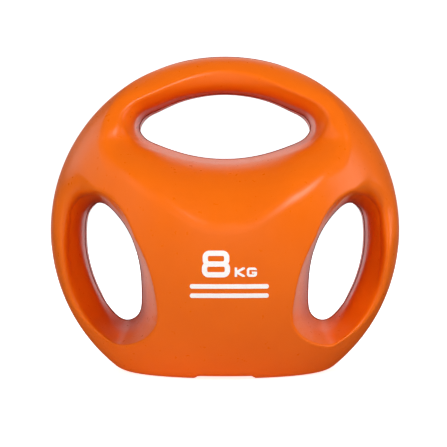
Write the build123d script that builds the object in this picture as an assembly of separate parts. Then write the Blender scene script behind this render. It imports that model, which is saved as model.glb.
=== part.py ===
"""Three-grip medicine ball, 8 kg: a moulded ball shell in two halves, filled with iron sand.

Frame: millimetres, +Z up, +X to the right, the printed front face towards -Y.
The origin is on the floor under the middle of the ball, so the feet rest on Z = 0.
Everything is described from the ball's centre, and lifted by BASE_DROP when it is written.
"""
import os
from math import hypot, radians, tan

from build123d import *

os.makedirs("parts", exist_ok=True)

# Ball
BALL_RADIUS = 145.0            # outside of the ball and of its three grips
BASE_DROP = 117.0              # ball centre above the floor
WALL = 4.5                     # moulded skin
BASE_WALL = 8.0                # thicker skin at the base

# Slanted flat on each face, from the top grip down to the middle of the ball
FLAT_NORMAL = (0, -0.74, 0.673)
FLAT_DISTANCE = 108.2          # ball centre to the flat
FLAT_ROUND = 12.0              # rounding where the flat meets the ball

# Hand openings at the mid-plane, as (x, z) from the ball's centre
TOP_OPENING_HALF = [
    (0, 113.8), (21, 112), (42, 106.4), (57, 99.8), (67.2, 94.2), (71.8, 85.3),
    (67, 76.4), (57, 71), (40, 64.9), (20, 60.3), (0, 58.8),
]
SIDE_OPENING = [
    (106.4, 22.7), (91.8, 14.2), (78.4, -5.9), (70.6, -34), (69.4, -56), (72.8, -71.6),
    (80.9, -75.8), (95.9, -66.2), (108.1, -46.1), (116.2, -18), (116.9, 4.2), (112.5, 18.5),
]
OPENING_DRAFT = 7.0            # mould draft of the opening walls, in degrees

# Hollows that thin each grip from the front and from the rear
GRIP_HALF_DEPTH = 28.0         # mid-plane to the deepest line of a hollow
TOP_HOLLOW_RADIUS = 86.0       # upright cylinder in front of the top grip
TOP_HOLLOW_FOOT = 80.0         # height of its lower end
SIDE_HOLLOW_RADIUS = 58.0      # cylinder that runs outwards across a side grip
SIDE_HOLLOW_POINT = (95.0, -32.0)
SIDE_HOLLOW_FALL = 0.22        # drop of its axis for each unit outwards
SIDE_HOLLOW_START = 80.0
SHOULDER_NORMAL = (-0.655, 0.584, 0.481)
SHOULDER_DISTANCE = -113.5     # plane that keeps the hollow clear of the shoulder

# Base
CHANNEL_WIDTH = 45.0           # shallow channel from front to rear, between the two feet
CHANNEL_DEPTH = 2.0
FOOT_ROUND = 8.0               # rounding of the base's rim

# Weld between the two halves
WELD_WIDTH = 0.8
WELD_SET_BACK = 0.5            # the weld bead sits this far below the skin

# Fill
FILL_GAP = 0.3
FILL_LEVEL = -18.0             # top of the settled sand

# Filler plug in the base channel
PLUG_HEAD_RADIUS = 15.0
PLUG_HEAD_HEIGHT = 2.2
PLUG_STEM_RADIUS = 10.0
PLUG_LIP = 1.0                 # snap lip inside the wall
PLUG_LIP_HEIGHT = 2.0
PLUG_GAP = 0.15
SLOT_LENGTH = 16.0             # coin slot in the plug's head
SLOT_WIDTH = 2.4
SLOT_DEPTH = 1.2
SEAL_HEIGHT = 1.2
SEAL_RADIUS = 13.5

# Print on the front
PRINT_THICKNESS = 0.25
NUMERAL_CENTRE = (-6.7, -25.6)
NUMERAL_SIZE = (20.8, 19.9)
NUMERAL_STROKE = 3.9
NUMERAL_ROUND = 5.0
LETTER_HEIGHT = 7.0
LETTER_WIDTH = 7.6
LETTER_STROKE = 1.8
LETTER_LEVEL = -31.7           # middle of the letters
LETTER_K_CENTRE = 11.0
LETTER_G_CENTRE = 20.0
BAR_LENGTH = 59.0
BAR_HEIGHT = 3.4
BAR_CENTRE = 3.2
BAR_LEVELS = {"upper": -42.4, "lower": -49.4}

BLOCK = 400.0                  # edge of the blocks that cut the ball
HANDS = (-1, 1)

TOP_OPENING = TOP_OPENING_HALF + [(-x, z) for x, z in reversed(TOP_OPENING_HALF[1:-1])]
CHANNEL_TOP = CHANNEL_DEPTH - BASE_DROP
PLUG_SHOULDER = CHANNEL_TOP + PLUG_HEAD_HEIGHT
SEAL_SEAT = PLUG_SHOULDER + SEAL_HEIGHT
INNER_FLOOR = BASE_WALL - BASE_DROP
FROM_BELOW = (Align.CENTER, Align.CENTER, Align.MIN)


def beyond(normal, distance):
    """Everything past the plane with this normal, this far from the ball's centre."""
    direction = Vector(*normal).normalized()
    plane = Plane(origin=direction * distance, z_dir=direction)
    return plane * Box(BLOCK, BLOCK, BLOCK, align=FROM_BELOW)


def disc(radius, bottom, top):
    """An upright cylinder on the ball's axis, between two heights."""
    return Pos(0, 0, bottom) * Cylinder(radius, top - bottom, align=FROM_BELOW)


# --- Ball shape -------------------------------------------------------------------------------

def grown(points, amount):
    """A closed outline with each point moved outwards along the outline's normal."""
    count = len(points)
    area = sum(points[i - 1][0] * points[i][1] - points[i][0] * points[i - 1][1] for i in range(count))
    turn = amount if area > 0 else -amount
    moved = []
    for i, (x, z) in enumerate(points):
        x_before, z_before = points[i - 1]
        x_after, z_after = points[(i + 1) % count]
        dx, dz = x_after - x_before, z_after - z_before
        length = hypot(dx, dz)
        moved.append((x + turn * dz / length, z - turn * dx / length))
    return moved


def section(points, amount, depth):
    """The outline of an opening, grown by an amount, as a face at Y = depth."""
    outline = Spline(*[(x, depth, z) for x, z in grown(points, amount)], periodic=True)
    return Face(Wire(outline))


def opening(points, inset):
    """The front half of a hand opening, narrowest at the mid-plane."""
    reach = BALL_RADIUS + 10
    draft = tan(radians(OPENING_DRAFT))
    narrow = section(points, inset - draft, 1)
    wide = section(points, inset + draft * reach, -reach)
    return loft([narrow, wide], ruled=True)


def top_hollow(inset):
    """What is hollowed out in front of the top grip."""
    place = Pos(0, -GRIP_HALF_DEPTH - TOP_HOLLOW_RADIUS, TOP_HOLLOW_FOOT - inset)
    return place * Cylinder(TOP_HOLLOW_RADIUS + inset, BLOCK, align=FROM_BELOW)


def side_hollow(inset, hand):
    """What is hollowed out in front of a side grip."""
    x, z = SIDE_HOLLOW_POINT
    centre = (hand * x, -GRIP_HALF_DEPTH - SIDE_HOLLOW_RADIUS, z)
    axis = Plane(origin=centre, z_dir=(hand, 0, -SIDE_HOLLOW_FALL))
    hollow = axis * Cylinder(SIDE_HOLLOW_RADIUS + inset, BLOCK)
    hollow -= beyond((-hand, 0, 0), inset - SIDE_HOLLOW_START)
    nx, ny, nz = SHOULDER_NORMAL
    return hollow - beyond((hand * nx, ny, nz), inset + SHOULDER_DISTANCE)


def front_edges(shape):
    """The edges that don't lie on the mid-plane."""
    return shape.edges().filter_by(lambda edge: edge.bounding_box().min.Y < -1)


def front_half(inset, base_inset):
    """The front half of the ball, with every surface moved inwards by an inset."""
    half = Sphere(BALL_RADIUS - inset) - beyond((0, 1, 0), 0)
    half -= beyond(FLAT_NORMAL, FLAT_DISTANCE - inset)
    half = fillet(front_edges(half), FLAT_ROUND - inset)
    half -= beyond((0, 0, -1), BASE_DROP - base_inset)
    half = fillet(front_edges(half.faces().sort_by(Axis.Z)[0]), FOOT_ROUND - inset)
    half -= top_hollow(inset)
    half -= opening(TOP_OPENING, inset)
    for hand in HANDS:
        half -= side_hollow(inset, hand)
        half -= opening([(hand * x, z) for x, z in SIDE_OPENING], inset)
    return half


def both_halves(front):
    return front + mirror(front, about=Plane.XZ)


# --- Pieces -----------------------------------------------------------------------------------

def plug_hole():
    """The stepped hole through the base that the filler plug fits."""
    hole = disc(PLUG_HEAD_RADIUS, -BASE_DROP - 1, SEAL_SEAT)
    return hole + disc(PLUG_STEM_RADIUS, SEAL_SEAT - 1, INNER_FLOOR + 1)


def make_front_shell():
    shell = front_half(0, 0) - front_half(WALL, BASE_WALL)
    shell -= Pos(0, 0, -BASE_DROP) * Box(CHANNEL_WIDTH, BLOCK, 2 * CHANNEL_DEPTH)
    shell -= beyond((0, 1, 0), -WELD_WIDTH / 2)
    return shell - plug_hole()


def weld_slab(radius, base_level):
    """A slab on the mid-plane with the outline of the ball, cut off at the base."""
    return Plane.XZ * Cylinder(radius, WELD_WIDTH) - beyond((0, 0, -1), -base_level)


def opening_weld(points):
    """The weld bead round one hand opening."""
    outer = extrude(section(points, WALL, -WELD_WIDTH / 2), WELD_WIDTH, dir=(0, 1, 0))
    return outer - extrude(section(points, WELD_SET_BACK, -WELD_WIDTH / 2), WELD_WIDTH, dir=(0, 1, 0))


def make_welds():
    """The four closed weld beads: one round the ball and one round each opening."""
    rim = weld_slab(BALL_RADIUS - WELD_SET_BACK, CHANNEL_TOP + WELD_SET_BACK)
    rim -= weld_slab(BALL_RADIUS - WALL, INNER_FLOOR)
    welds = {"rim_weld": rim - plug_hole(), "top_grip_weld": opening_weld(TOP_OPENING)}
    for side, hand in (("left", -1), ("right", 1)):
        welds[f"{side}_grip_weld"] = opening_weld([(hand * x, z) for x, z in SIDE_OPENING])
    return welds


def make_fill():
    inset = WALL + FILL_GAP
    front = front_half(inset, BASE_WALL + FILL_GAP) - beyond((0, 0, 1), FILL_LEVEL)
    lip = PLUG_STEM_RADIUS + PLUG_LIP + FILL_GAP
    return both_halves(front) - disc(lip, -BASE_DROP, INNER_FLOOR + PLUG_LIP_HEIGHT + 2 * FILL_GAP)


def make_plug():
    stem_radius = PLUG_STEM_RADIUS - PLUG_GAP
    lip_foot = INNER_FLOOR + PLUG_GAP
    plug = disc(PLUG_HEAD_RADIUS - PLUG_GAP, CHANNEL_TOP, PLUG_SHOULDER)
    plug += disc(stem_radius, CHANNEL_TOP, lip_foot)
    plug += disc(stem_radius + PLUG_LIP, lip_foot, lip_foot + PLUG_LIP_HEIGHT)
    return plug - Pos(0, 0, CHANNEL_TOP) * Box(SLOT_LENGTH, SLOT_WIDTH, 2 * SLOT_DEPTH)


def make_seal():
    return disc(SEAL_RADIUS, PLUG_SHOULDER, SEAL_SEAT) - disc(PLUG_STEM_RADIUS, PLUG_SHOULDER, SEAL_SEAT)


# --- Print ------------------------------------------------------------------------------------

def stroke(start, end, width):
    """A straight stroke between two points of the X-Z drawing plane."""
    (x0, z0), (x1, z1) = start, end
    length = hypot(x1 - x0, z1 - z0)
    side_x, side_z = width / 2 * (z0 - z1) / length, width / 2 * (x1 - x0) / length
    corners = [(x0 + side_x, z0 + side_z), (x1 + side_x, z1 + side_z)]
    corners += [(x1 - side_x, z1 - side_z), (x0 - side_x, z0 - side_z)]
    return make_face(Polyline(*corners, close=True))


def ring(width, height, thickness, corner):
    outer = RectangleRounded(width, height, corner)
    return outer - RectangleRounded(width - 2 * thickness, height - 2 * thickness, max(corner - thickness, 0.6))


def numeral_eight():
    width, height = NUMERAL_SIZE
    loop = (height + NUMERAL_STROKE) / 2
    shift = (height - loop) / 2
    lower = Pos(0, -shift) * ring(width, loop, NUMERAL_STROKE, NUMERAL_ROUND)
    return Pos(*NUMERAL_CENTRE) * (lower + Pos(0, shift) * ring(width - 1, loop, NUMERAL_STROKE, NUMERAL_ROUND))


def letter_k():
    half_width, half_height = LETTER_WIDTH / 2, LETTER_HEIGHT / 2
    stem = -half_width + LETTER_STROKE / 2
    letter = stroke((stem, -half_height), (stem, half_height), LETTER_STROKE)
    box = Rectangle(LETTER_WIDTH, LETTER_HEIGHT)
    for up in (-1, 1):
        arm = stroke((stem, -0.2 * up), (half_width + 0.5, up * (half_height + 0.2)), LETTER_STROKE)
        letter += arm & box
    return Pos(LETTER_K_CENTRE, LETTER_LEVEL) * letter


def letter_g():
    letter = ring(LETTER_WIDTH, LETTER_HEIGHT, LETTER_STROKE, 2.2)
    letter -= Pos(LETTER_WIDTH / 2, 0.75) * Rectangle(LETTER_WIDTH, 1.5)
    letter += Pos(LETTER_WIDTH / 4, -0.4) * Rectangle(LETTER_WIDTH / 2, 1.5)
    return Pos(LETTER_G_CENTRE, LETTER_LEVEL) * letter


def bar(level):
    return Pos(BAR_CENTRE, level) * RectangleRounded(BAR_LENGTH, BAR_HEIGHT, BAR_HEIGHT / 2 - 0.1)


def printed(drawing):
    """A drawing laid on the front of the ball as a thin film of ink."""
    film = Sphere(BALL_RADIUS + PRINT_THICKNESS) - Sphere(BALL_RADIUS)
    return film & extrude(Plane.XZ * drawing, BALL_RADIUS + 10)


def make_prints():
    prints = {"print_numeral_8": printed(numeral_eight())}
    prints["print_letter_k"] = printed(letter_k())
    prints["print_letter_g"] = printed(letter_g())
    for name, level in BAR_LEVELS.items():
        prints[f"print_{name}_bar"] = printed(bar(level))
    return prints


front_shell = make_front_shell()
pieces = {
    "front_shell": front_shell,
    "rear_shell": mirror(front_shell, about=Plane.XZ),
    "iron_sand_fill": make_fill(),
    "filler_plug": make_plug(),
    "plug_seal": make_seal(),
}
pieces |= make_welds()
pieces |= make_prints()
for name, piece in pieces.items():
    export_step(Pos(0, 0, BASE_DROP) * piece, f"parts/{name}.step")
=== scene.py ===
import math

import bmesh
import bpy
import numpy as np
from mathutils import Matrix, Vector


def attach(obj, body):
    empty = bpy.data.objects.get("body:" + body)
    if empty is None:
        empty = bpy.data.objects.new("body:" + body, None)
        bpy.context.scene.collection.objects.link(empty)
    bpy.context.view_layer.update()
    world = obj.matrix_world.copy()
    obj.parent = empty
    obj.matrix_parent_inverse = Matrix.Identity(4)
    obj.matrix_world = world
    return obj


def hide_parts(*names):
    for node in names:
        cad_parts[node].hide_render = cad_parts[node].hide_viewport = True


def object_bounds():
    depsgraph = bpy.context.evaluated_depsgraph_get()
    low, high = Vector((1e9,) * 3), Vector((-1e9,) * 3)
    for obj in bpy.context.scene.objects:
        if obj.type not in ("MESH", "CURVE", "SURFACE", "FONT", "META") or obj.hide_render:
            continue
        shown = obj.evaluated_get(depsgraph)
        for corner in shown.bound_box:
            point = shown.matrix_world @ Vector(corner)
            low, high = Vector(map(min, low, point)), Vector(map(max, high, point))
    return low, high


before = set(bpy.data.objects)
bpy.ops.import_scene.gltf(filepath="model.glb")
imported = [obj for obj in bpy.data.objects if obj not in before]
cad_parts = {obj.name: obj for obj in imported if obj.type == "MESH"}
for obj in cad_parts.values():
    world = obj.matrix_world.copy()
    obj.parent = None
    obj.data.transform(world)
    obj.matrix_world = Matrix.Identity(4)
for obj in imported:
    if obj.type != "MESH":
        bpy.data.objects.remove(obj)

# Lengths are metres. The ball's shape is worked out from its centre, with X to the right,
# Y to the rear and Z up, for the front half, and mirrored for the rear half.

MM = 0.001
cad_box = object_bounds()
RADIUS = (cad_box[1].x - cad_box[0].x) / 2
CENTRE_HEIGHT = cad_box[1].z - RADIUS
BASE_DROP = CENTRE_HEIGHT - cad_box[0].z

WALL = 4.5 * MM
BASE_WALL = 8.0 * MM
CELL = 2.0 * MM                 # size of a face of the outer skin
INNER_CELL = 4.5 * MM
SAND_CELL = 5.0 * MM
OUTER_ROUNDS = 8
INNER_ROUNDS = 6
SAND_ROUNDS = 6
INNER_SOFTEN = 14.0 * MM        # extra rounding of the inner skin's edges
INNER_BASE_BLEND = 8 * MM

PLUG_SEAT_RADIUS = 15.05 * MM
PLUG_HOLE_RADIUS = 10.05 * MM
PLUG_SEAT_TOP = -111.58 * MM
PLUG_HOLE_TOP = -104.5 * MM

FLAT_NORMAL = (0.74, 0.673)     # towards the front and up
FLAT_DISTANCE = 108.2 * MM
FLAT_RISE = 6.6 * MM
GRIP_DRAFT = 0.02
LIP_DRAFT = 0.11
EDGE_BLEND = 2.2 * MM           # rounding of the edge where a dish meets the ball

TOP_HALF = [
    (0, 113.8), (21, 112), (42, 106.4), (57, 99.8), (67.2, 94.2), (71.8, 85.3),
    (67, 76.4), (57, 71), (40, 64.9), (20, 60.3), (0, 58.8),
]
TOP_OUTLINE = TOP_HALF + [(-x, z) for x, z in reversed(TOP_HALF[1:-1])]
SIDE_OUTLINE = [
    (106.4, 22.7), (91.8, 14.2), (78.4, -5.9), (70.6, -34), (69.4, -56), (72.8, -71.6),
    (80.9, -75.8), (95.9, -66.2), (108.1, -46.1), (116.2, -18), (116.9, 4.2), (112.5, 18.5),
]

GRIP_HALF_DEPTH = 28.0 * MM
TOP_HOLLOW_RADIUS = 86.0 * MM
TOP_HOLLOW_HALF_WIDTH = 104.0 * MM
TOP_HOLLOW_FOOT = 72.0 * MM
SIDE_HOLLOW_RADIUS = 58.0 * MM
SIDE_HOLLOW_POINT = (95.0 * MM, -32.0 * MM)
SIDE_HOLLOW_FALL = 0.22
SIDE_HOLLOW_RISE = 1.55         # how fast the hollow's floor comes forward below the grip
SIDE_GRIP_STRAIGHT = 16.0 * MM
SIDE_GRIP_ROUND = 80.0 * MM
SIDE_HOLLOW_START = 79.0 * MM
SHOULDER_NORMAL = (-0.655, 0.584, 0.481)
SHOULDER_DISTANCE = -113.5 * MM

# Each pair below is where a change begins and where it is complete: sideways from the middle of
# the ball for those named SIDEWAYS, and up from its centre for the others.

PROUD_BEGINS_SIDEWAYS = (8 * MM, 52 * MM)
PROUD_ENDS_SIDEWAYS = (72 * MM, 98 * MM)
PROUD_ENDS = (36 * MM, 76 * MM)
FLAT_BLEND = 4.5 * MM
FLAT_BLEND_LOSS = 1.5 * MM
FLAT_BLEND_LOSS_SIDEWAYS = (30 * MM, 80 * MM)
FLAT_BLEND_GAIN = 12 * MM
FLAT_BLEND_GAINS = (100 * MM, 128 * MM)
BASE_BLEND = 5 * MM
CHANNEL_EDGE = 2 * MM

TOP_TAPER = 0.6
TOP_TAPER_HEIGHT = 92 * MM
TOP_TAPER_BLEND = 10 * MM
TOP_CROWN_LOSS = 19 * MM
TOP_CROWN = (97 * MM, 122 * MM)
TOP_FOOT_BLEND = 22 * MM
TOP_DISH_BLEND = 12 * MM
LIP_DRAFT_ENDS = (68 * MM, 90 * MM)
LIP_BLEND = 17 * MM
LIP_BLEND_GAIN = 14 * MM
LIP_GAIN_ENDS_SIDEWAYS = (30 * MM, 62 * MM)
LIP_BLEND_ENDS = (66 * MM, 86 * MM)

SIDE_RISE_GAIN = 1.6
SIDE_RISE_GAINS = (-60 * MM, -10 * MM)
SIDE_RISE_BEGINS_SIDEWAYS = (82 * MM, 98 * MM)
SIDE_RISE_ENDS = (30 * MM, 60 * MM)
SIDE_RISE_GAP = 0.5 * MM
SIDE_RISE_BLEND = 6 * MM
SHOULDER_BLEND = 20 * MM
SIDE_START_BLEND = 16 * MM
SIDE_DISH_BLEND = 14 * MM

# The line between the core side and the grip side of a side opening, as a normal and a point.
GRIP_LINE_NORMAL = (0.97, -0.24)
GRIP_LINE_POINT = (92 * MM, -27.5 * MM)
GRIP_LINE_BLEND = 8 * MM
LOW_END_STOPS = (-78 * MM, -50 * MM)
CORE_DRAFT = 0.10
CORE_DRAFT_FALL = 1.45          # per metre of height
CORE_DRAFT_HEIGHT = -26 * MM
CORE_DRAFT_RANGE = (0.07, 0.165)
SIDE_GRIP_DRAFT = 0.01
LOW_END_DRAFT = 0.15
ROUNDING_BEGINS = (-85 * MM, -50 * MM)
ROUNDING_ENDS = (24 * MM, 46 * MM)
ROUNDING_REACH = 32 * MM
SIDE_EDGE_LOW_GAIN = 7 * MM
SIDE_EDGE_LOW = (-95 * MM, -45 * MM)
SIDE_EDGE_HIGH_GAIN = 12 * MM
SIDE_EDGE_HIGH = (-20 * MM, 20 * MM)

FILL_GAP = 0.3 * MM
FILL_LEVEL = -18.0 * MM
FILL_EDGE_BLEND = 3 * MM
HEAP_HEIGHT = 1.5 * MM
HEAP_WAVES = (30, 34)           # radians per metre along X and Y
HEAP_PHASE = 0.4
RIPPLE_HEIGHT = 0.5 * MM
RIPPLE_WAVES = (160, 90)

CHANNEL_HALF_WIDTH = 22.5 * MM
CHANNEL_DEPTH = 2.0 * MM
SEAM_HALF_WIDTH = 0.4 * MM
SEAM_ROUND_START = 1.3 * MM
SEAM_ROUND = 0.35 * MM
PLUG_SIDES = 64
BEAD_STEP = 1.2 * MM
BEAD_PROFILE = [
    (-0.38, -0.5), (-0.5, 0.05), (-0.36, 0.36), (0, 0.5),
    (0.36, 0.36), (0.5, 0.05), (0.38, -0.5), (0.38, -3.6), (-0.38, -3.6),
]
RIM_WELD_WIDER_THAN = 1.5 * RADIUS
TOP_WELD_WIDER_THAN = 0.8 * RADIUS

MARGIN_CELLS = 1.7              # room round the ball in the sampling grid
REAR_CELLS = 3
SLOPE_STEP = 0.05 * MM
EVENING_SHARE = 0.6
LEAST_SLOPE = 0.2
LAST_ROUNDS = 3                 # rounds that only move vertices onto the skin
SNAP_CELLS = 0.15
SAME_POINT = 1e-7
SAME_PLANE = 1e-6
NEAR_SKIN = 1.0 * MM            # how far off the skin a vertex may be and still be shaded by it
RIM_TOLERANCE = 0.05 * MM
RIM_NORMAL_PULL = 0.9

VINYL_COLOUR = (0.85, 0.145, 0.0022)
VINYL_SECOND = (0.83, 0.137, 0.0018)

PAPER_GLOW = 0.8
BOUNCE_GLOW = 0.46
BOWL_SIDES = 96
BOWL_HOLE = 0.001
SWEEP_FLAT = 1.5
SWEEP_STEPS = 24
SWEEP_WALL = (2.5, 4.0)         # radius and height of the paper's rim
BOUNCE_RADIUS = 4.0
BOUNCE_HEIGHT = -0.002
LAMP_DISTANCE = 1.8

# The world's light by direction: its height or depth where a change begins and ends.
WALL_HEIGHTS = (-0.04, 0.06)
WALL_STRENGTHS = (0.01, 0.06)
BEHIND_DEPTHS = (0.93, 0.975)
BEHIND_HEIGHTS = (-0.11, -0.08)

CAMERA_DISTANCE = 1.24
CAMERA_LENS = 119.2             # millimetres, on a sensor 36 mm wide
CAMERA_SENSOR = 36
CAMERA_SHIFT = (-0.0033557047, 0.0134228188)    # in widths of the picture


# --- Outlines of the hand openings -------------------------------------------------------------

class Outline:
    """A closed smooth curve through a few points of the X-Z plane."""

    SAMPLES = 120
    BATCH = 20000
    STEPS = 3
    LEAST_SLOPE = 0.2

    def __init__(self, points):
        self.points = np.array(points) * MM
        steps = np.roll(self.points, -1, 0) - self.points
        self.spans = np.hypot(*steps.T)
        self.knots = np.concatenate([[0], np.cumsum(self.spans)])
        count = len(points)
        matrix = np.zeros((count, count))
        right = np.zeros((count, 2))
        for i in range(count):
            before, after = self.spans[i - 1], self.spans[i]
            matrix[i, i - 1] += after
            matrix[i, i] += 2 * (before + after)
            matrix[i, (i + 1) % count] += before
            right[i] = 3 * (after * steps[i - 1] / before + before * steps[i] / after)
        self.slopes = np.linalg.solve(matrix, right)
        self.start = np.linspace(0, self.knots[-1], self.SAMPLES, endpoint=False)
        self.samples = self.at(self.start)[0]
        x, z = self.samples.T
        self.turn = np.sign(np.sum(x * np.roll(z, -1) - np.roll(x, -1) * z))

    def at(self, place):
        """Point, first and second derivative at each place along the curve."""
        place = np.mod(place, self.knots[-1])
        i = np.clip(np.searchsorted(self.knots, place, side="right") - 1, 0, len(self.spans) - 1)
        j = (i + 1) % len(self.spans)
        span = self.spans[i][:, None]
        t = ((place - self.knots[i]) / self.spans[i])[:, None]
        p, q = self.points[i], self.points[j]
        m, n = self.slopes[i] * span, self.slopes[j] * span
        point = (2 * t**3 - 3 * t**2 + 1) * p + (t**3 - 2 * t**2 + t) * m
        point += (3 * t**2 - 2 * t**3) * q + (t**3 - t**2) * n
        first = (6 * t**2 - 6 * t) * (p - q) + (3 * t**2 - 4 * t + 1) * m + (3 * t**2 - 2 * t) * n
        first = first / span
        second = ((12 * t - 6) * (p - q) + (6 * t - 4) * m + (6 * t - 2) * n) / span**2
        return point, first, second

    def distance(self, x, z):
        """Signed distance from the curve, positive outside it, then its slopes along X and Z."""
        query = np.stack([np.ravel(x), np.ravel(z)], 1)
        nearest = np.empty(len(query), int)
        for a in range(0, len(query), self.BATCH):
            part = query[a:a + self.BATCH, None] - self.samples[None]
            nearest[a:a + self.BATCH] = np.argmin((part**2).sum(2), 1)
        place = self.start[nearest]
        limit = self.knots[-1] / self.SAMPLES
        for _ in range(self.STEPS):
            point, first, second = self.at(place)
            gap = point - query
            slope = (first**2).sum(1) + (gap * second).sum(1)
            slope = np.where(slope > self.LEAST_SLOPE, slope, 1.0)
            place = place - np.clip((gap * first).sum(1) / slope, -limit, limit)
        point, first, _ = self.at(place)
        first /= np.hypot(*first.T)[:, None]
        outward = self.turn * np.stack([first[:, 1], -first[:, 0]])
        distance = ((query - point).T * outward).sum(0)
        return np.stack([distance, *outward]).reshape((3,) + np.shape(x))


top_outline = Outline(TOP_OUTLINE)
side_outline = Outline(SIDE_OUTLINE)


# --- The ball's shape ---------------------------------------------------------------------------

def smooth_max(a, b, width):
    overlap = np.clip(width - np.abs(a - b), 0, None)
    return np.maximum(a, b) + overlap**2 / (4 * width)


def smooth_min(a, b, width):
    return -smooth_max(-a, -b, width)


def fade(value, low, high):
    """0 below low, 1 above high, with a smooth step between."""
    t = np.clip((value - low) / (high - low), 0, 1)
    return t * t * (3 - 2 * t)


def opening_gaps(x, z):
    """Distance outside the top opening and outside the side opening, each with its slopes."""
    side = side_outline.distance(np.abs(x), z)
    side[1] *= np.sign(x)
    return top_outline.distance(x, z), side


def ball_shape(x, y, z, openings, soften=0.0):
    """Negative inside the front half of the ball, positive outside, close to a distance."""
    depth = -y
    hand_x = np.abs(x)
    top_gap, side_gap = openings

    # the sloping flat, a little proud on each side of its middle
    ball = np.sqrt(x**2 + y**2 + z**2) - RADIUS
    proud = fade(hand_x, *PROUD_BEGINS_SIDEWAYS) * (1 - fade(hand_x, *PROUD_ENDS_SIDEWAYS))
    proud = FLAT_RISE * proud * (1 - fade(z, *PROUD_ENDS))
    flat = FLAT_NORMAL[0] * depth + FLAT_NORMAL[1] * z - FLAT_DISTANCE - proud
    blunt = FLAT_BLEND - FLAT_BLEND_LOSS * fade(hand_x, *FLAT_BLEND_LOSS_SIDEWAYS)
    blunt = blunt + FLAT_BLEND_GAIN * fade(z, *FLAT_BLEND_GAINS)
    shape = smooth_max(ball, flat, blunt)

    # the base, with a shallow channel from front to back
    channel_edge = (CHANNEL_HALF_WIDTH - CHANNEL_EDGE, CHANNEL_HALF_WIDTH + CHANNEL_EDGE)
    channel = CHANNEL_DEPTH * (1 - fade(hand_x, *channel_edge))
    shape = smooth_max(shape, -z - BASE_DROP + channel, BASE_BLEND)

    # the dish round the top opening: a hollow in front of the grip, and the opening's wall
    below = smooth_max(TOP_TAPER_HEIGHT - z, 0 * z, TOP_TAPER_BLEND)
    half_width = TOP_HOLLOW_HALF_WIDTH - TOP_TAPER * below
    half_width = half_width - TOP_CROWN_LOSS * fade(z, *TOP_CROWN)
    reach = np.hypot(x / half_width, (depth - GRIP_HALF_DEPTH) / TOP_HOLLOW_RADIUS - 1)
    hollow = smooth_min(TOP_HOLLOW_RADIUS * (1 - reach), z - TOP_HOLLOW_FOOT, TOP_FOOT_BLEND)
    draft = GRIP_DRAFT + (LIP_DRAFT - GRIP_DRAFT) * (1 - fade(z, *LIP_DRAFT_ENDS))
    wall = (depth * draft - top_gap) / np.hypot(1, draft)
    dish = smooth_max(hollow, wall, TOP_DISH_BLEND)
    lip = LIP_BLEND + LIP_BLEND_GAIN * (1 - fade(hand_x, *LIP_GAIN_ENDS_SIDEWAYS))
    shape = smooth_max(shape, dish, EDGE_BLEND + lip * (1 - fade(z, *LIP_BLEND_ENDS)) + soften)

    # the dish round a side opening: a hollow whose floor comes forward below the grip
    length = math.hypot(1, SIDE_HOLLOW_FALL)
    ax, az = 1 / length, -SIDE_HOLLOW_FALL / length
    across = (z - SIDE_HOLLOW_POINT[1]) * ax - (hand_x - SIDE_HOLLOW_POINT[0]) * az
    climb = SIDE_HOLLOW_RISE * (1 + SIDE_RISE_GAIN * fade(z, *SIDE_RISE_GAINS))
    climb = climb * fade(hand_x, *SIDE_RISE_BEGINS_SIDEWAYS) * (1 - fade(z, *SIDE_RISE_ENDS))
    rise = climb * smooth_max(side_gap - SIDE_RISE_GAP, 0 * side_gap, SIDE_RISE_BLEND)
    inward = depth - rise - GRIP_HALF_DEPTH - SIDE_HOLLOW_RADIUS
    hollow = SIDE_HOLLOW_RADIUS - np.hypot(across, inward)
    hollow = hollow / np.hypot(1, climb)
    nx, ny, nz = SHOULDER_NORMAL
    shoulder = SHOULDER_DISTANCE - (nx * hand_x + ny * y + nz * z)
    hollow = smooth_min(hollow, shoulder, SHOULDER_BLEND)
    hollow = smooth_min(hollow, hand_x - SIDE_HOLLOW_START, SIDE_START_BLEND)

    # the wall of a side opening, with its own slope on the core side and on the grip side
    past_line = GRIP_LINE_NORMAL[0] * (hand_x - GRIP_LINE_POINT[0])
    past_line = past_line + GRIP_LINE_NORMAL[1] * (z - GRIP_LINE_POINT[1])
    grip_side = fade(past_line, -GRIP_LINE_BLEND, GRIP_LINE_BLEND)
    low_end = 1 - fade(z, *LOW_END_STOPS)
    core_draft = np.clip(CORE_DRAFT - CORE_DRAFT_FALL * (z - CORE_DRAFT_HEIGHT), *CORE_DRAFT_RANGE)
    draft = core_draft * (1 - grip_side) + (SIDE_GRIP_DRAFT + LOW_END_DRAFT * low_end) * grip_side
    rounded = grip_side * fade(z, *ROUNDING_BEGINS) * (1 - fade(z, *ROUNDING_ENDS))
    past_straight = np.clip(depth - SIDE_GRIP_STRAIGHT, 0, ROUNDING_REACH)
    rounding = rounded * past_straight ** 2 / (2 * SIDE_GRIP_ROUND)
    wall = (depth * draft + rounding - side_gap) / np.hypot(1, draft)
    dish = smooth_max(hollow, wall, SIDE_DISH_BLEND)
    edge = SIDE_EDGE_LOW_GAIN * fade(z, *SIDE_EDGE_LOW) + SIDE_EDGE_HIGH_GAIN * fade(z, *SIDE_EDGE_HIGH)
    return smooth_max(shape, dish, EDGE_BLEND + edge * grip_side + soften)


def inner_skin(x, y, z, openings):
    inset = ball_shape(x, y, z, openings, INNER_SOFTEN) + WALL
    return smooth_max(inset, -z - BASE_DROP + BASE_WALL, INNER_BASE_BLEND)


# --- Meshing ------------------------------------------------------------------------------------

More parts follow.
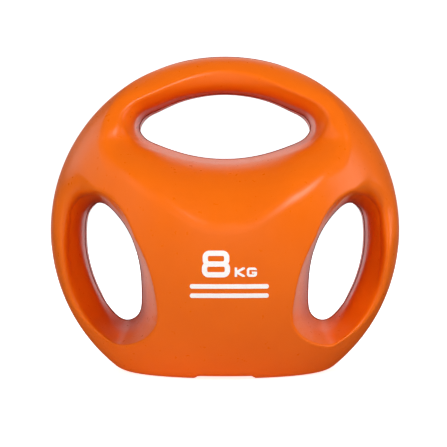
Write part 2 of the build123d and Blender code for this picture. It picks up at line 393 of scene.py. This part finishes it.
def surface_net(skin, cell, rear=None):
    """Vertices and quads near where the skin's value is zero, one vertex in each crossed cell."""
    low = np.array([-RADIUS, -RADIUS, -BASE_DROP]) - MARGIN_CELLS * cell
    high = np.array([RADIUS, rear or REAR_CELLS * cell, RADIUS]) + MARGIN_CELLS * cell
    axes = [np.arange(a, b, cell) for a, b in zip(low, high)]
    x, z = np.meshgrid(axes[0], axes[2], indexing="ij")
    gaps = [gap[0][:, None, :] for gap in opening_gaps(x, z)]
    grid = np.meshgrid(*axes, indexing="ij", sparse=True)
    value = skin(*grid, gaps)
    # a light blur, which leaves fewer edges shared by more than two faces; settle() then moves
    # the vertices onto the unblurred skin
    for axis in range(3):
        line = np.moveaxis(value, axis, 0)
        line[1:-1] = (line[:-2] + 2 * line[1:-1] + line[2:]) / 4
    inside = value < 0

    shape = tuple(n - 1 for n in value.shape)
    count = np.zeros(shape, np.int8)
    for corner in np.ndindex(2, 2, 2):
        count += inside[tuple(slice(c, c + n) for c, n in zip(corner, shape))]
    cells = np.argwhere((count > 0) & (count < 8))
    total, crossings = np.zeros((len(cells), 3)), np.zeros(len(cells))
    for axis in range(3):
        step = np.eye(3, dtype=int)[axis]
        for corner in np.ndindex(2, 2, 2):
            if corner[axis]:
                continue
            start = cells + corner
            a = value[tuple(start.T)]
            b = value[tuple((start + step).T)]
            crossed = (a < 0) != (b < 0)
            share = np.where(crossed, a / np.where(crossed, a - b, 1), 0)
            total += crossed[:, None] * (np.array(corner) + share[:, None] * step)
            crossings += crossed
    points = low + (cells + total / crossings[:, None]) * cell

    index = np.full(shape, -1)
    index[tuple(cells.T)] = np.arange(len(cells))
    quads = []
    for axis in range(3):
        u, v = (axis + 1) % 3, (axis + 2) % 3
        ahead = np.moveaxis(inside, axis, 0)
        crossed = np.moveaxis(ahead[:-1] != ahead[1:], 0, axis)
        edges = np.argwhere(crossed)
        beside = edges[:, (u, v)]
        edges = edges[((beside > 0) & (beside < (shape[u], shape[v]))).all(1)]
        back_u, back_v = np.eye(3, dtype=int)[u], np.eye(3, dtype=int)[v]
        ring = [edges - back_u - back_v, edges - back_v, edges, edges - back_u]
        quad = np.stack([index[tuple(c.T)] for c in ring], 1)
        rising = inside[tuple(edges.T)]
        quads.append(np.where(rising[:, None], quad, quad[:, ::-1]))
    return points, np.concatenate(quads)


def value_and_slope(skin, points):
    """The skin's value and its gradient at points."""
    gaps = opening_gaps(points[:, 0], points[:, 2])

    def value(*move):
        near = [gap[0] + gap[1] * move[0] + gap[2] * move[2] for gap in gaps]
        return skin(*(points + move).T, near)

    slope = [value(*(SLOPE_STEP * axis)) - value(*(-SLOPE_STEP * axis)) for axis in np.eye(3)]
    return value(0, 0, 0), np.stack(slope, 1) / (2 * SLOPE_STEP)


def settle(skin, points, quads, cell, rounds):
    """Evens out the quads and moves every vertex onto the skin."""
    edges = np.concatenate([quads[:, [i, (i + 1) % 4]] for i in range(4)])
    number = np.bincount(edges.ravel(), minlength=len(points))
    for turn in range(rounds):
        mean = np.empty_like(points)
        for axis in range(3):
            both = points[edges[:, ::-1], axis].ravel()
            mean[:, axis] = np.bincount(edges.ravel(), both, len(points)) / number
        if turn < rounds - LAST_ROUNDS:
            points = points + EVENING_SHARE * (mean - points)
        value, slope = value_and_slope(skin, points)
        move = -(value / np.maximum((slope**2).sum(1), LEAST_SLOPE))[:, None] * slope
        length = np.linalg.norm(move, axis=1, keepdims=True)
        points = points + move * np.minimum(1, cell / np.maximum(length, 1e-9))
    return points


def unit(vectors):
    return vectors / np.maximum(np.linalg.norm(vectors, axis=-1, keepdims=True), 1e-12)


def cut_skin(skin, cell, rounds):
    """The part of a skin in front of the parting line, as points and faces."""
    points, quads = surface_net(skin, cell)
    points = settle(skin, points, quads, cell, rounds)
    for plane in (-SEAM_HALF_WIDTH, -SEAM_ROUND_START):
        close = np.abs(points[:, 1] - plane) < SNAP_CELLS * cell
        points[close, 1] = plane
    bm = bmesh.new()
    fill(bm, points, quads)
    for plane, clear in ((-SEAM_ROUND_START, False), (-SEAM_HALF_WIDTH, True)):
        bmesh.ops.bisect_plane(
            bm, geom=bm.verts[:] + bm.edges[:] + bm.faces[:], dist=SAME_POINT,
            plane_co=(0, plane, 0), plane_no=(0, 1, 0), clear_outer=clear,
        )
    bm.verts.index_update()
    points = np.array([v.co for v in bm.verts])
    faces = [[v.index for v in face.verts] for face in bm.faces]
    bm.free()
    return points, faces


def fill(bm, points, faces):
    """Adds points and faces to a mesh being built, and returns the new vertices."""
    made = [bm.verts.new(p) for p in points]
    for face in faces:
        bm.faces.new([made[i] for i in face])
    return made


def rim_loops(bm):
    """The open edges of a mesh, as closed loops of edges."""
    left = {edge for edge in bm.edges if edge.is_boundary}
    loops = []
    while left:
        edge = min(left, key=lambda e: e.index)
        left.remove(edge)
        loop, vert = [edge], edge.verts[1]
        while True:
            following = [e for e in vert.link_edges if e in left]
            if not following:
                break
            edge = following[0]
            left.remove(edge)
            loop.append(edge)
            vert = edge.other_vert(vert)
        loops.append(loop)
    return loops


def loop_box(loop):
    """The lowest and highest corner of a loop of edges."""
    points = np.array([v.co for edge in loop for v in edge.verts])
    return np.concatenate([points.min(0), points.max(0)])


def front_shell_mesh():
    """The front half's closed shell, and its rims as (points, outward directions)."""
    points, faces = cut_skin(ball_shape, CELL, OUTER_ROUNDS)
    slope = unit(value_and_slope(ball_shape, points)[1])
    rim = points[:, 1] > -SEAM_HALF_WIDTH - SAME_PLANE
    outward = unit(slope * (1, 0, 1))
    points[rim] -= SEAM_ROUND * outward[rim]
    bm = bmesh.new()
    fill(bm, points, faces)
    bm.verts.index_update()
    bm.edges.index_update()
    outer_loops = rim_loops(bm)
    lines = []
    for loop in outer_loops:
        order = loop_order(loop)
        lines.append((points[order] + SEAM_ROUND * outward[order], outward[order]))
    inner_points, inner_faces = cut_skin(inner_skin, INNER_CELL, INNER_ROUNDS)
    made = set(fill(bm, inner_points, [face[::-1] for face in inner_faces]))
    bm.edges.index_update()
    inner_loops = [loop for loop in rim_loops(bm) if loop[0].verts[0] in made]
    boxes = np.array([loop_box(loop) for loop in inner_loops])
    for loop in outer_loops:
        twin = inner_loops[int(np.argmin(np.abs(boxes - loop_box(loop)).sum(1)))]
        bmesh.ops.triangle_fill(bm, edges=loop + twin, use_beauty=True, normal=(0, 1, 0))
    mesh = bpy.data.meshes.new("front_shell_skin")
    bmesh.ops.recalc_face_normals(bm, faces=bm.faces[:])
    bm.to_mesh(mesh)
    bm.free()
    return mesh, lines


def loop_order(loop):
    """The vertices of a closed loop of edges, in order."""
    first, second = loop[0].verts[0], loop[0].verts[1]
    if second not in loop[1].verts:
        first, second = second, first
    order = [first.index]
    vert = second
    for edge in loop[1:]:
        order.append(vert.index)
        vert = edge.other_vert(vert)
    return order


def bead_mesh(name, points, outward):
    """A weld bead: a rounded ridge that follows a rim and reaches in as far as the wall does."""
    points, outward = evened(points, outward, BEAD_STEP)
    profile = np.array(BEAD_PROFILE) * MM
    rings = points[:, None] + outward[:, None] * profile[None, :, 1:]
    rings[..., 1] = profile[:, 0]
    rings[..., 2] = np.maximum(rings[..., 2], -BASE_DROP)
    count, around = len(points), len(profile)
    start = np.arange(count)[:, None] * around
    following = (np.arange(1, count + 1) % count)[:, None] * around
    side = np.arange(around)
    beside = (side + 1) % around
    quads = np.stack([start + side, start + beside, following + beside, following + side], -1)
    bm = bmesh.new()
    fill(bm, rings.reshape(-1, 3), quads.reshape(-1, 4).tolist())
    bmesh.ops.recalc_face_normals(bm, faces=bm.faces[:])
    mesh = bpy.data.meshes.new(name)
    bm.to_mesh(mesh)
    bm.free()
    for polygon in mesh.polygons:
        polygon.use_smooth = True
    return mesh


def evened(points, outward, step):
    """A closed line's points and outward directions, again at even steps along it."""
    closed = np.concatenate([points, points[:1]])
    turns = np.concatenate([outward, outward[:1]])
    along = np.concatenate([[0], np.cumsum(np.linalg.norm(np.diff(closed, axis=0), axis=1))])
    places = np.linspace(0, along[-1], int(along[-1] / step), endpoint=False)
    new_points = np.stack([np.interp(places, along, closed[:, i]) for i in range(3)], 1)
    new_turns = np.stack([np.interp(places, along, turns[:, i]) for i in range(3)], 1)
    return new_points, unit(new_turns)


# --- Materials ----------------------------------------------------------------------------------

class Shader:
    """A small helper that builds a material's node tree."""

    def __init__(self, name):
        self.material = bpy.data.materials.new(name)
        self.material.use_nodes = True
        self.tree = self.material.node_tree
        self.tree.nodes.clear()
        self.output = self.add("ShaderNodeOutputMaterial")
        self.surface = self.add("ShaderNodeBsdfPrincipled")
        self.join(self.surface, "BSDF", self.output, "Surface")
        self.place = self.add("ShaderNodeTexCoord")

    def add(self, kind, **settings):
        node = self.tree.nodes.new(kind)
        for key, value in settings.items():
            setattr(node, key, value)
        return node

    def join(self, source, output, target, socket):
        self.tree.links.new(source.outputs[output], target.inputs[socket])

    def noise(self, size, detail=2.0, roughness=0.5):
        """Noise whose features are about size metres across."""
        node = self.add("ShaderNodeTexNoise")
        node.inputs["Scale"].default_value = 1 / size
        node.inputs["Detail"].default_value = detail
        node.inputs["Roughness"].default_value = roughness
        self.join(self.place, "Object", node, "Vector")
        return node

    def ranged(self, source, output, low, high, from_low=0.3, from_high=0.7):
        node = self.add("ShaderNodeMapRange")
        node.inputs["From Min"].default_value = from_low
        node.inputs["From Max"].default_value = from_high
        node.inputs["To Min"].default_value = low
        node.inputs["To Max"].default_value = high
        self.join(source, output, node, "Value")
        return node

    def mix(self, factor, first, second):
        """A colour between two others, by a node's value."""
        node = self.add("ShaderNodeMix", data_type="RGBA")
        self.join(factor, "Result", node, "Factor")
        node.inputs["A"].default_value = (*first, 1)
        node.inputs["B"].default_value = (*second, 1)
        return node

    def bump(self, heights):
        """Relief from (node, output, height in metres) entries, added together."""
        below = None
        for source, output, height in heights:
            node = self.add("ShaderNodeBump")
            node.inputs["Distance"].default_value = height
            self.join(source, output, node, "Height")
            if below:
                self.join(below, "Normal", node, "Normal")
            below = node
        self.join(below, "Normal", self.surface, "Normal")


def vinyl():
    shader = Shader("orange_vinyl")
    tint = shader.ranged(shader.noise(30 * MM, 3), "Fac", 0, 1)
    colour = shader.mix(tint, VINYL_COLOUR, VINYL_SECOND)
    shader.join(colour, "Result", shader.surface, "Base Color")
    sheen = shader.ranged(shader.noise(6 * MM, 4, 0.6), "Fac", 0.27, 0.34)
    shader.join(sheen, "Result", shader.surface, "Roughness")
    shader.surface.inputs["IOR"].default_value = 1.5
    shader.surface.inputs["Specular IOR Level"].default_value = 0.28
    grain = shader.noise(1.1 * MM, 3, 0.65)
    sag = shader.noise(14 * MM, 1)
    shader.bump([(sag, "Fac", 0.10 * MM), (grain, "Fac", 0.09 * MM)])
    return shader.material


def weld_line():
    shader = Shader("trimmed_weld_line")
    tint = shader.ranged(shader.noise(2 * MM, 3), "Fac", 0, 1)
    colour = shader.mix(tint, (0.42, 0.045, 0.006), (0.28, 0.028, 0.005))
    shader.join(colour, "Result", shader.surface, "Base Color")
    shader.surface.inputs["Roughness"].default_value = 0.5
    shader.bump([(shader.noise(0.8 * MM, 3), "Fac", 0.12 * MM)])
    return shader.material


def white_ink():
    shader = Shader("white_ink")
    tint = shader.ranged(shader.noise(1.2 * MM, 4, 0.65), "Fac", 0, 1, 0.25, 0.6)
    colour = shader.mix(tint, (0.95, 0.91, 0.88), (0.97, 0.97, 0.96))
    shader.join(colour, "Result", shader.surface, "Base Color")
    shader.surface.inputs["Roughness"].default_value = 0.42
    shader.bump([(shader.noise(0.6 * MM, 3), "Fac", 0.02 * MM)])
    return shader.material


def black_plastic():
    shader = Shader("black_plastic")
    tint = shader.ranged(shader.noise(4 * MM, 3), "Fac", 0, 1)
    colour = shader.mix(tint, (0.012, 0.012, 0.013), (0.022, 0.021, 0.021))
    shader.join(colour, "Result", shader.surface, "Base Color")
    sheen = shader.ranged(shader.noise(2 * MM, 3), "Fac", 0.42, 0.58)
    shader.join(sheen, "Result", shader.surface, "Roughness")
    shader.bump([(shader.noise(0.3 * MM, 2), "Fac", 0.03 * MM)])
    return shader.material


def seal_rubber():
    shader = Shader("seal_rubber")
    tint = shader.ranged(shader.noise(1.5 * MM, 3), "Fac", 0, 1)
    colour = shader.mix(tint, (0.03, 0.03, 0.03), (0.05, 0.048, 0.045))
    shader.join(colour, "Result", shader.surface, "Base Color")
    shader.surface.inputs["Roughness"].default_value = 0.75
    shader.bump([(shader.noise(0.25 * MM, 2), "Fac", 0.05 * MM)])
    return shader.material


def iron_sand():
    shader = Shader("iron_sand")
    grains = shader.add("ShaderNodeTexVoronoi")
    grains.inputs["Scale"].default_value = 1 / (0.8 * MM)
    shader.join(shader.place, "Object", grains, "Vector")
    tint = shader.ranged(shader.noise(0.8 * MM, 3, 0.7), "Fac", 0, 1)
    colour = shader.mix(tint, (0.035, 0.033, 0.032), (0.11, 0.10, 0.095))
    shader.join(colour, "Result", shader.surface, "Base Color")
    shader.surface.inputs["Metallic"].default_value = 0.6
    shader.surface.inputs["Roughness"].default_value = 0.6
    shader.bump([(grains, "Distance", 0.5 * MM)])
    return shader.material


# --- Pieces -------------------------------------------------------------------------------------

def place(mesh, name, finish, *nodes):
    """Puts a mesh, already raised to the ball's height, in the scene in place of CAD nodes of one kind.
    """
    piece = bpy.data.objects.new(name, mesh)
    bpy.context.scene.collection.objects.link(piece)
    mesh.materials.clear()
    mesh.materials.append(finish)
    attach(piece, "root")
    if nodes:
        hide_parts(*nodes)
    return piece


def sand_skin(x, y, z, openings):
    """The iron sand: what lies inside the inner skin and below a gently heaped surface."""
    heap = HEAP_HEIGHT * np.cos(HEAP_WAVES[0] * x) * np.cos(HEAP_WAVES[1] * y + HEAP_PHASE)
    heap = heap + RIPPLE_HEIGHT * np.cos(RIPPLE_WAVES[0] * x + RIPPLE_WAVES[1] * y)
    level = z - FILL_LEVEL - heap
    return smooth_max(inner_skin(x, -np.abs(y), z, openings) + FILL_GAP, level, FILL_EDGE_BLEND)


def raised(mesh):
    """Moves a mesh from the ball's centre to its place above the floor."""
    mesh.transform(Matrix.Translation((0, 0, CENTRE_HEIGHT)))
    return mesh


def shade_by_skin(mesh, front):
    """Gives the outer skin's faces the shape's own normals. Front is 1, or -1 for the rear half."""
    points = np.empty(len(mesh.vertices) * 3)
    mesh.vertices.foreach_get("co", points)
    points = points.reshape(-1, 3) * (1, front, 1)
    value, slope = value_and_slope(ball_shape, points)
    normals = unit(slope)
    on_skin = np.abs(value) < NEAR_SKIN
    at_seam = points[:, 1] > -SEAM_HALF_WIDTH - SAME_PLANE
    rim = at_seam & (np.abs(value + SEAM_ROUND) < RIM_TOLERANCE)
    normals[rim] = unit(normals[rim] + (0, RIM_NORMAL_PULL, 0))
    normals *= (1, front, 1)
    smooth = on_skin | rim
    corners = np.zeros((len(mesh.loops), 3))
    for polygon in mesh.polygons:
        vertices = list(polygon.vertices)
        if smooth[vertices].all():
            start = polygon.loop_start
            corners[start:start + polygon.loop_total] = normals[vertices]
            polygon.use_smooth = True
        else:
            polygon.use_smooth = False
    mesh.normals_split_custom_set(corners.tolist())


def mirrored(mesh, name):
    """A copy of a mesh behind the parting line."""
    bm = bmesh.new()
    bm.from_mesh(mesh)
    for vert in bm.verts:
        vert.co.y = -vert.co.y
    bmesh.ops.reverse_faces(bm, faces=bm.faces[:])
    copy = bpy.data.meshes.new(name)
    bm.to_mesh(copy)
    bm.free()
    return copy


def plug_cutter():
    """The solid that the filler plug's seat and hole leave open."""
    low = -BASE_DROP - 10 * MM
    bm = bmesh.new()
    parts = ((PLUG_SEAT_RADIUS, low, PLUG_SEAT_TOP), (PLUG_HOLE_RADIUS, PLUG_SEAT_TOP, PLUG_HOLE_TOP))
    turns = [2 * math.pi * i / PLUG_SIDES for i in range(PLUG_SIDES)]
    rings = []
    for radius, bottom, top in parts:
        for z in (bottom, top):
            circle = [(radius * math.cos(t), radius * math.sin(t), z) for t in turns]
            rings.append([bm.verts.new(point) for point in circle])
    bm.faces.new(rings[0][::-1])
    bm.faces.new(rings[3])
    for lower, upper in zip(rings, rings[1:]):
        for i in range(PLUG_SIDES):
            j = (i + 1) % PLUG_SIDES
            bm.faces.new((lower[i], lower[j], upper[j], upper[i]))
    bmesh.ops.recalc_face_normals(bm, faces=bm.faces[:])
    mesh = bpy.data.meshes.new("plug_cutter")
    bm.to_mesh(mesh)
    bm.free()
    return mesh


def drilled(mesh):
    """A mesh with the filler plug's seat and hole cut out of it."""
    pair = [bpy.data.objects.new(part.name, part) for part in (mesh, plug_cutter())]
    for piece in pair:
        bpy.context.scene.collection.objects.link(piece)
    cut = pair[0].modifiers.new("cut", "BOOLEAN")
    cut.object, cut.operation, cut.solver = pair[1], "DIFFERENCE", "EXACT"
    depsgraph = bpy.context.evaluated_depsgraph_get()
    result = bpy.data.meshes.new_from_object(pair[0].evaluated_get(depsgraph))
    for piece in pair:
        bpy.data.objects.remove(piece)
    return result


front_mesh, rims = front_shell_mesh()
front_mesh = drilled(front_mesh)
rear_mesh = mirrored(front_mesh, "rear_shell_skin")
shade_by_skin(front_mesh, 1)
shade_by_skin(rear_mesh, -1)
orange = vinyl()
place(raised(front_mesh), "front_shell_moulding", orange, "front_shell")
place(raised(rear_mesh), "rear_shell_moulding", orange, "rear_shell")

sand_points, sand_faces = surface_net(sand_skin, SAND_CELL, RADIUS)
sand_points = settle(sand_skin, sand_points, sand_faces, SAND_CELL, SAND_ROUNDS)
sand_mesh = bpy.data.meshes.new("iron_sand")
sand_mesh.from_pydata(sand_points.tolist(), [], sand_faces.tolist())
sand_mesh = drilled(sand_mesh)
place(raised(sand_mesh), "iron_sand", iron_sand(), "iron_sand_fill")

bead_finish = weld_line()
for line, outward in rims:
    middle_x, wide = line[:, 0].mean(), np.ptp(line[:, 0])
    if wide > RIM_WELD_WIDER_THAN:
        seam = "rim_weld"
    elif wide > TOP_WELD_WIDER_THAN:
        seam = "top_grip_weld"
    else:
        seam = "left_grip_weld" if middle_x < 0 else "right_grip_weld"
    bead = bead_mesh(seam + "_bead", line, outward)
    if seam == "rim_weld":
        bead = drilled(bead)
    bead = raised(bead)
    place(bead, seam + "_bead", bead_finish, seam)

# The CAD's own prints, plug and washer stay, with finishes of their own.
ink = white_ink()
finishes = {
    "print_numeral_8": ink, "print_letter_k": ink, "print_letter_g": ink,
    "print_upper_bar": ink, "print_lower_bar": ink,
    "filler_plug": black_plastic(), "plug_seal": seal_rubber(),
}
for name, finish in finishes.items():
    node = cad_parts[name]
    node.data.materials.clear()
    node.data.materials.append(finish)


# --- Stage --------------------------------------------------------------------------------------

def glowing_paper(name, glow):
    shader = Shader(name)
    tint = shader.ranged(shader.noise(0.4, 2), "Fac", 0, 1)
    mixed = shader.mix(tint, (0.93, 0.93, 0.93), (0.92, 0.92, 0.92))
    shader.join(mixed, "Result", shader.surface, "Base Color")
    shader.surface.inputs["Roughness"].default_value = 0.85
    shader.surface.inputs["Emission Color"].default_value = (1, 1, 1, 1)
    shader.surface.inputs["Emission Strength"].default_value = glow
    return shader.material


def paper_bowl(name, profile, glow):
    """A round sheet of paper: a profile of (radius, z) points turned about the ball's axis."""
    turns = [2 * math.pi * i / BOWL_SIDES for i in range(BOWL_SIDES)]
    points = [(r * math.cos(turn), r * math.sin(turn), z) for r, z in profile for turn in turns]
    faces = []
    for ring in range(0, len(points) - BOWL_SIDES, BOWL_SIDES):
        above = ring + BOWL_SIDES
        for i in range(BOWL_SIDES):
            j = (i + 1) % BOWL_SIDES
            faces.append((ring + i, ring + j, above + j, above + i))
    mesh = bpy.data.meshes.new(name)
    mesh.from_pydata(points, [], faces)
    for polygon in mesh.polygons:
        polygon.use_smooth = True
    paper = bpy.data.objects.new(name, mesh)
    bpy.context.scene.collection.objects.link(paper)
    mesh.materials.append(glowing_paper(name, glow))
    return paper


def softbox(name, azimuth, elevation, size, power):
    """A square lamp aimed at the ball. Azimuth 0 is in front of it and 90 is to its right."""
    lamp = bpy.data.lights.new(name, "AREA")
    lamp.shape = "SQUARE"
    lamp.size = size
    lamp.energy = power
    light = bpy.data.objects.new(name, lamp)
    bpy.context.scene.collection.objects.link(light)
    turn, rise = math.radians(azimuth), math.radians(elevation)
    level = math.cos(rise)
    towards = Vector((math.sin(turn) * level, -math.cos(turn) * level, math.sin(rise)))
    light.location = Vector(middle) + LAMP_DISTANCE * towards
    light.rotation_mode = "QUATERNION"
    light.rotation_quaternion = towards.to_track_quat("Z", "Y")
    return light


middle = (0, 0, CENTRE_HEIGHT)
bends = [i / (2 * SWEEP_STEPS) * math.pi for i in range(SWEEP_STEPS + 1)]
curve = [(SWEEP_FLAT + math.sin(bend), 1 - math.cos(bend)) for bend in bends]
paper = paper_bowl("paper_sweep", [(BOWL_HOLE, 0.0)] + curve + [SWEEP_WALL], PAPER_GLOW)
paper.visible_diffuse = paper.visible_glossy = False
card = [(BOWL_HOLE, BOUNCE_HEIGHT), (BOUNCE_RADIUS, BOUNCE_HEIGHT)]
bounce = paper_bowl("bounce_card", card, BOUNCE_GLOW)
bounce.visible_camera = bounce.visible_glossy = False
# name, azimuth and elevation in degrees, size in metres, power in watts
lamps = [
    softbox("key_softbox", 36, 46, 0.7, 18),
    softbox("left_softbox", -102, 30, 0.9, 1.6),
    softbox("right_softbox", 92, 18, 1.0, 7),
    softbox("high_left_softbox", -60, 50, 1.0, 3),
    softbox("rear_left_softbox", -132, 24, 0.6, 1.0),
    softbox("rear_top_softbox", 180, 35, 0.8, 1.2),
    softbox("front_fill", 0, 12, 1.6, 14),
    softbox("left_fill", -64, 16, 1.2, 9),
    softbox("rear_fill", 180, 14, 1.4, 9),
]
for fill_lamp in lamps[-3:]:
    fill_lamp.visible_glossy = False

world = bpy.data.worlds.new("studio")
world.use_nodes = True
nodes, links = world.node_tree.nodes, world.node_tree.links
direction = nodes.new("ShaderNodeTexCoord")
parts = nodes.new("ShaderNodeSeparateXYZ")
links.new(direction.outputs["Generated"], parts.inputs["Vector"])


def world_range(output, start, end, low, high):
    """A value from low to high as a part of the direction goes from start to end."""
    node = nodes.new("ShaderNodeMapRange")
    node.inputs["From Min"].default_value = start
    node.inputs["From Max"].default_value = end
    node.inputs["To Min"].default_value = low
    node.inputs["To Max"].default_value = high
    links.new(parts.outputs[output], node.inputs["Value"])
    return node


def world_math(operation, first, second):
    node = nodes.new("ShaderNodeMath")
    node.operation = operation
    links.new(first.outputs[0], node.inputs[0])
    links.new(second.outputs[0], node.inputs[1])
    return node


walls = world_range("Z", *WALL_HEIGHTS, *WALL_STRENGTHS)
rearward = world_range("Y", *BEHIND_DEPTHS, 0, 1)
behind = world_math("MULTIPLY", rearward, world_range("Z", *BEHIND_HEIGHTS, 0, 1))
brightest = world_math("MAXIMUM", walls, behind)
links.new(brightest.outputs[0], nodes["Background"].inputs["Strength"])
nodes["Background"].inputs["Color"].default_value = (1, 1, 1, 1)
bpy.context.scene.world = world
bpy.context.scene.view_settings.view_transform = "Standard"

lens = bpy.data.cameras.new("camera")
lens.lens = CAMERA_LENS
lens.sensor_width = CAMERA_SENSOR
lens.shift_x, lens.shift_y = CAMERA_SHIFT
camera = bpy.data.objects.new("camera", lens)
bpy.context.scene.collection.objects.link(camera)
back = Vector((0, -1, 0))
camera.location = Vector(middle) + CAMERA_DISTANCE * back
camera.rotation_mode = "QUATERNION"
camera.rotation_quaternion = (-back).to_track_quat("-Z", "Y")
bpy.context.scene.camera = camera
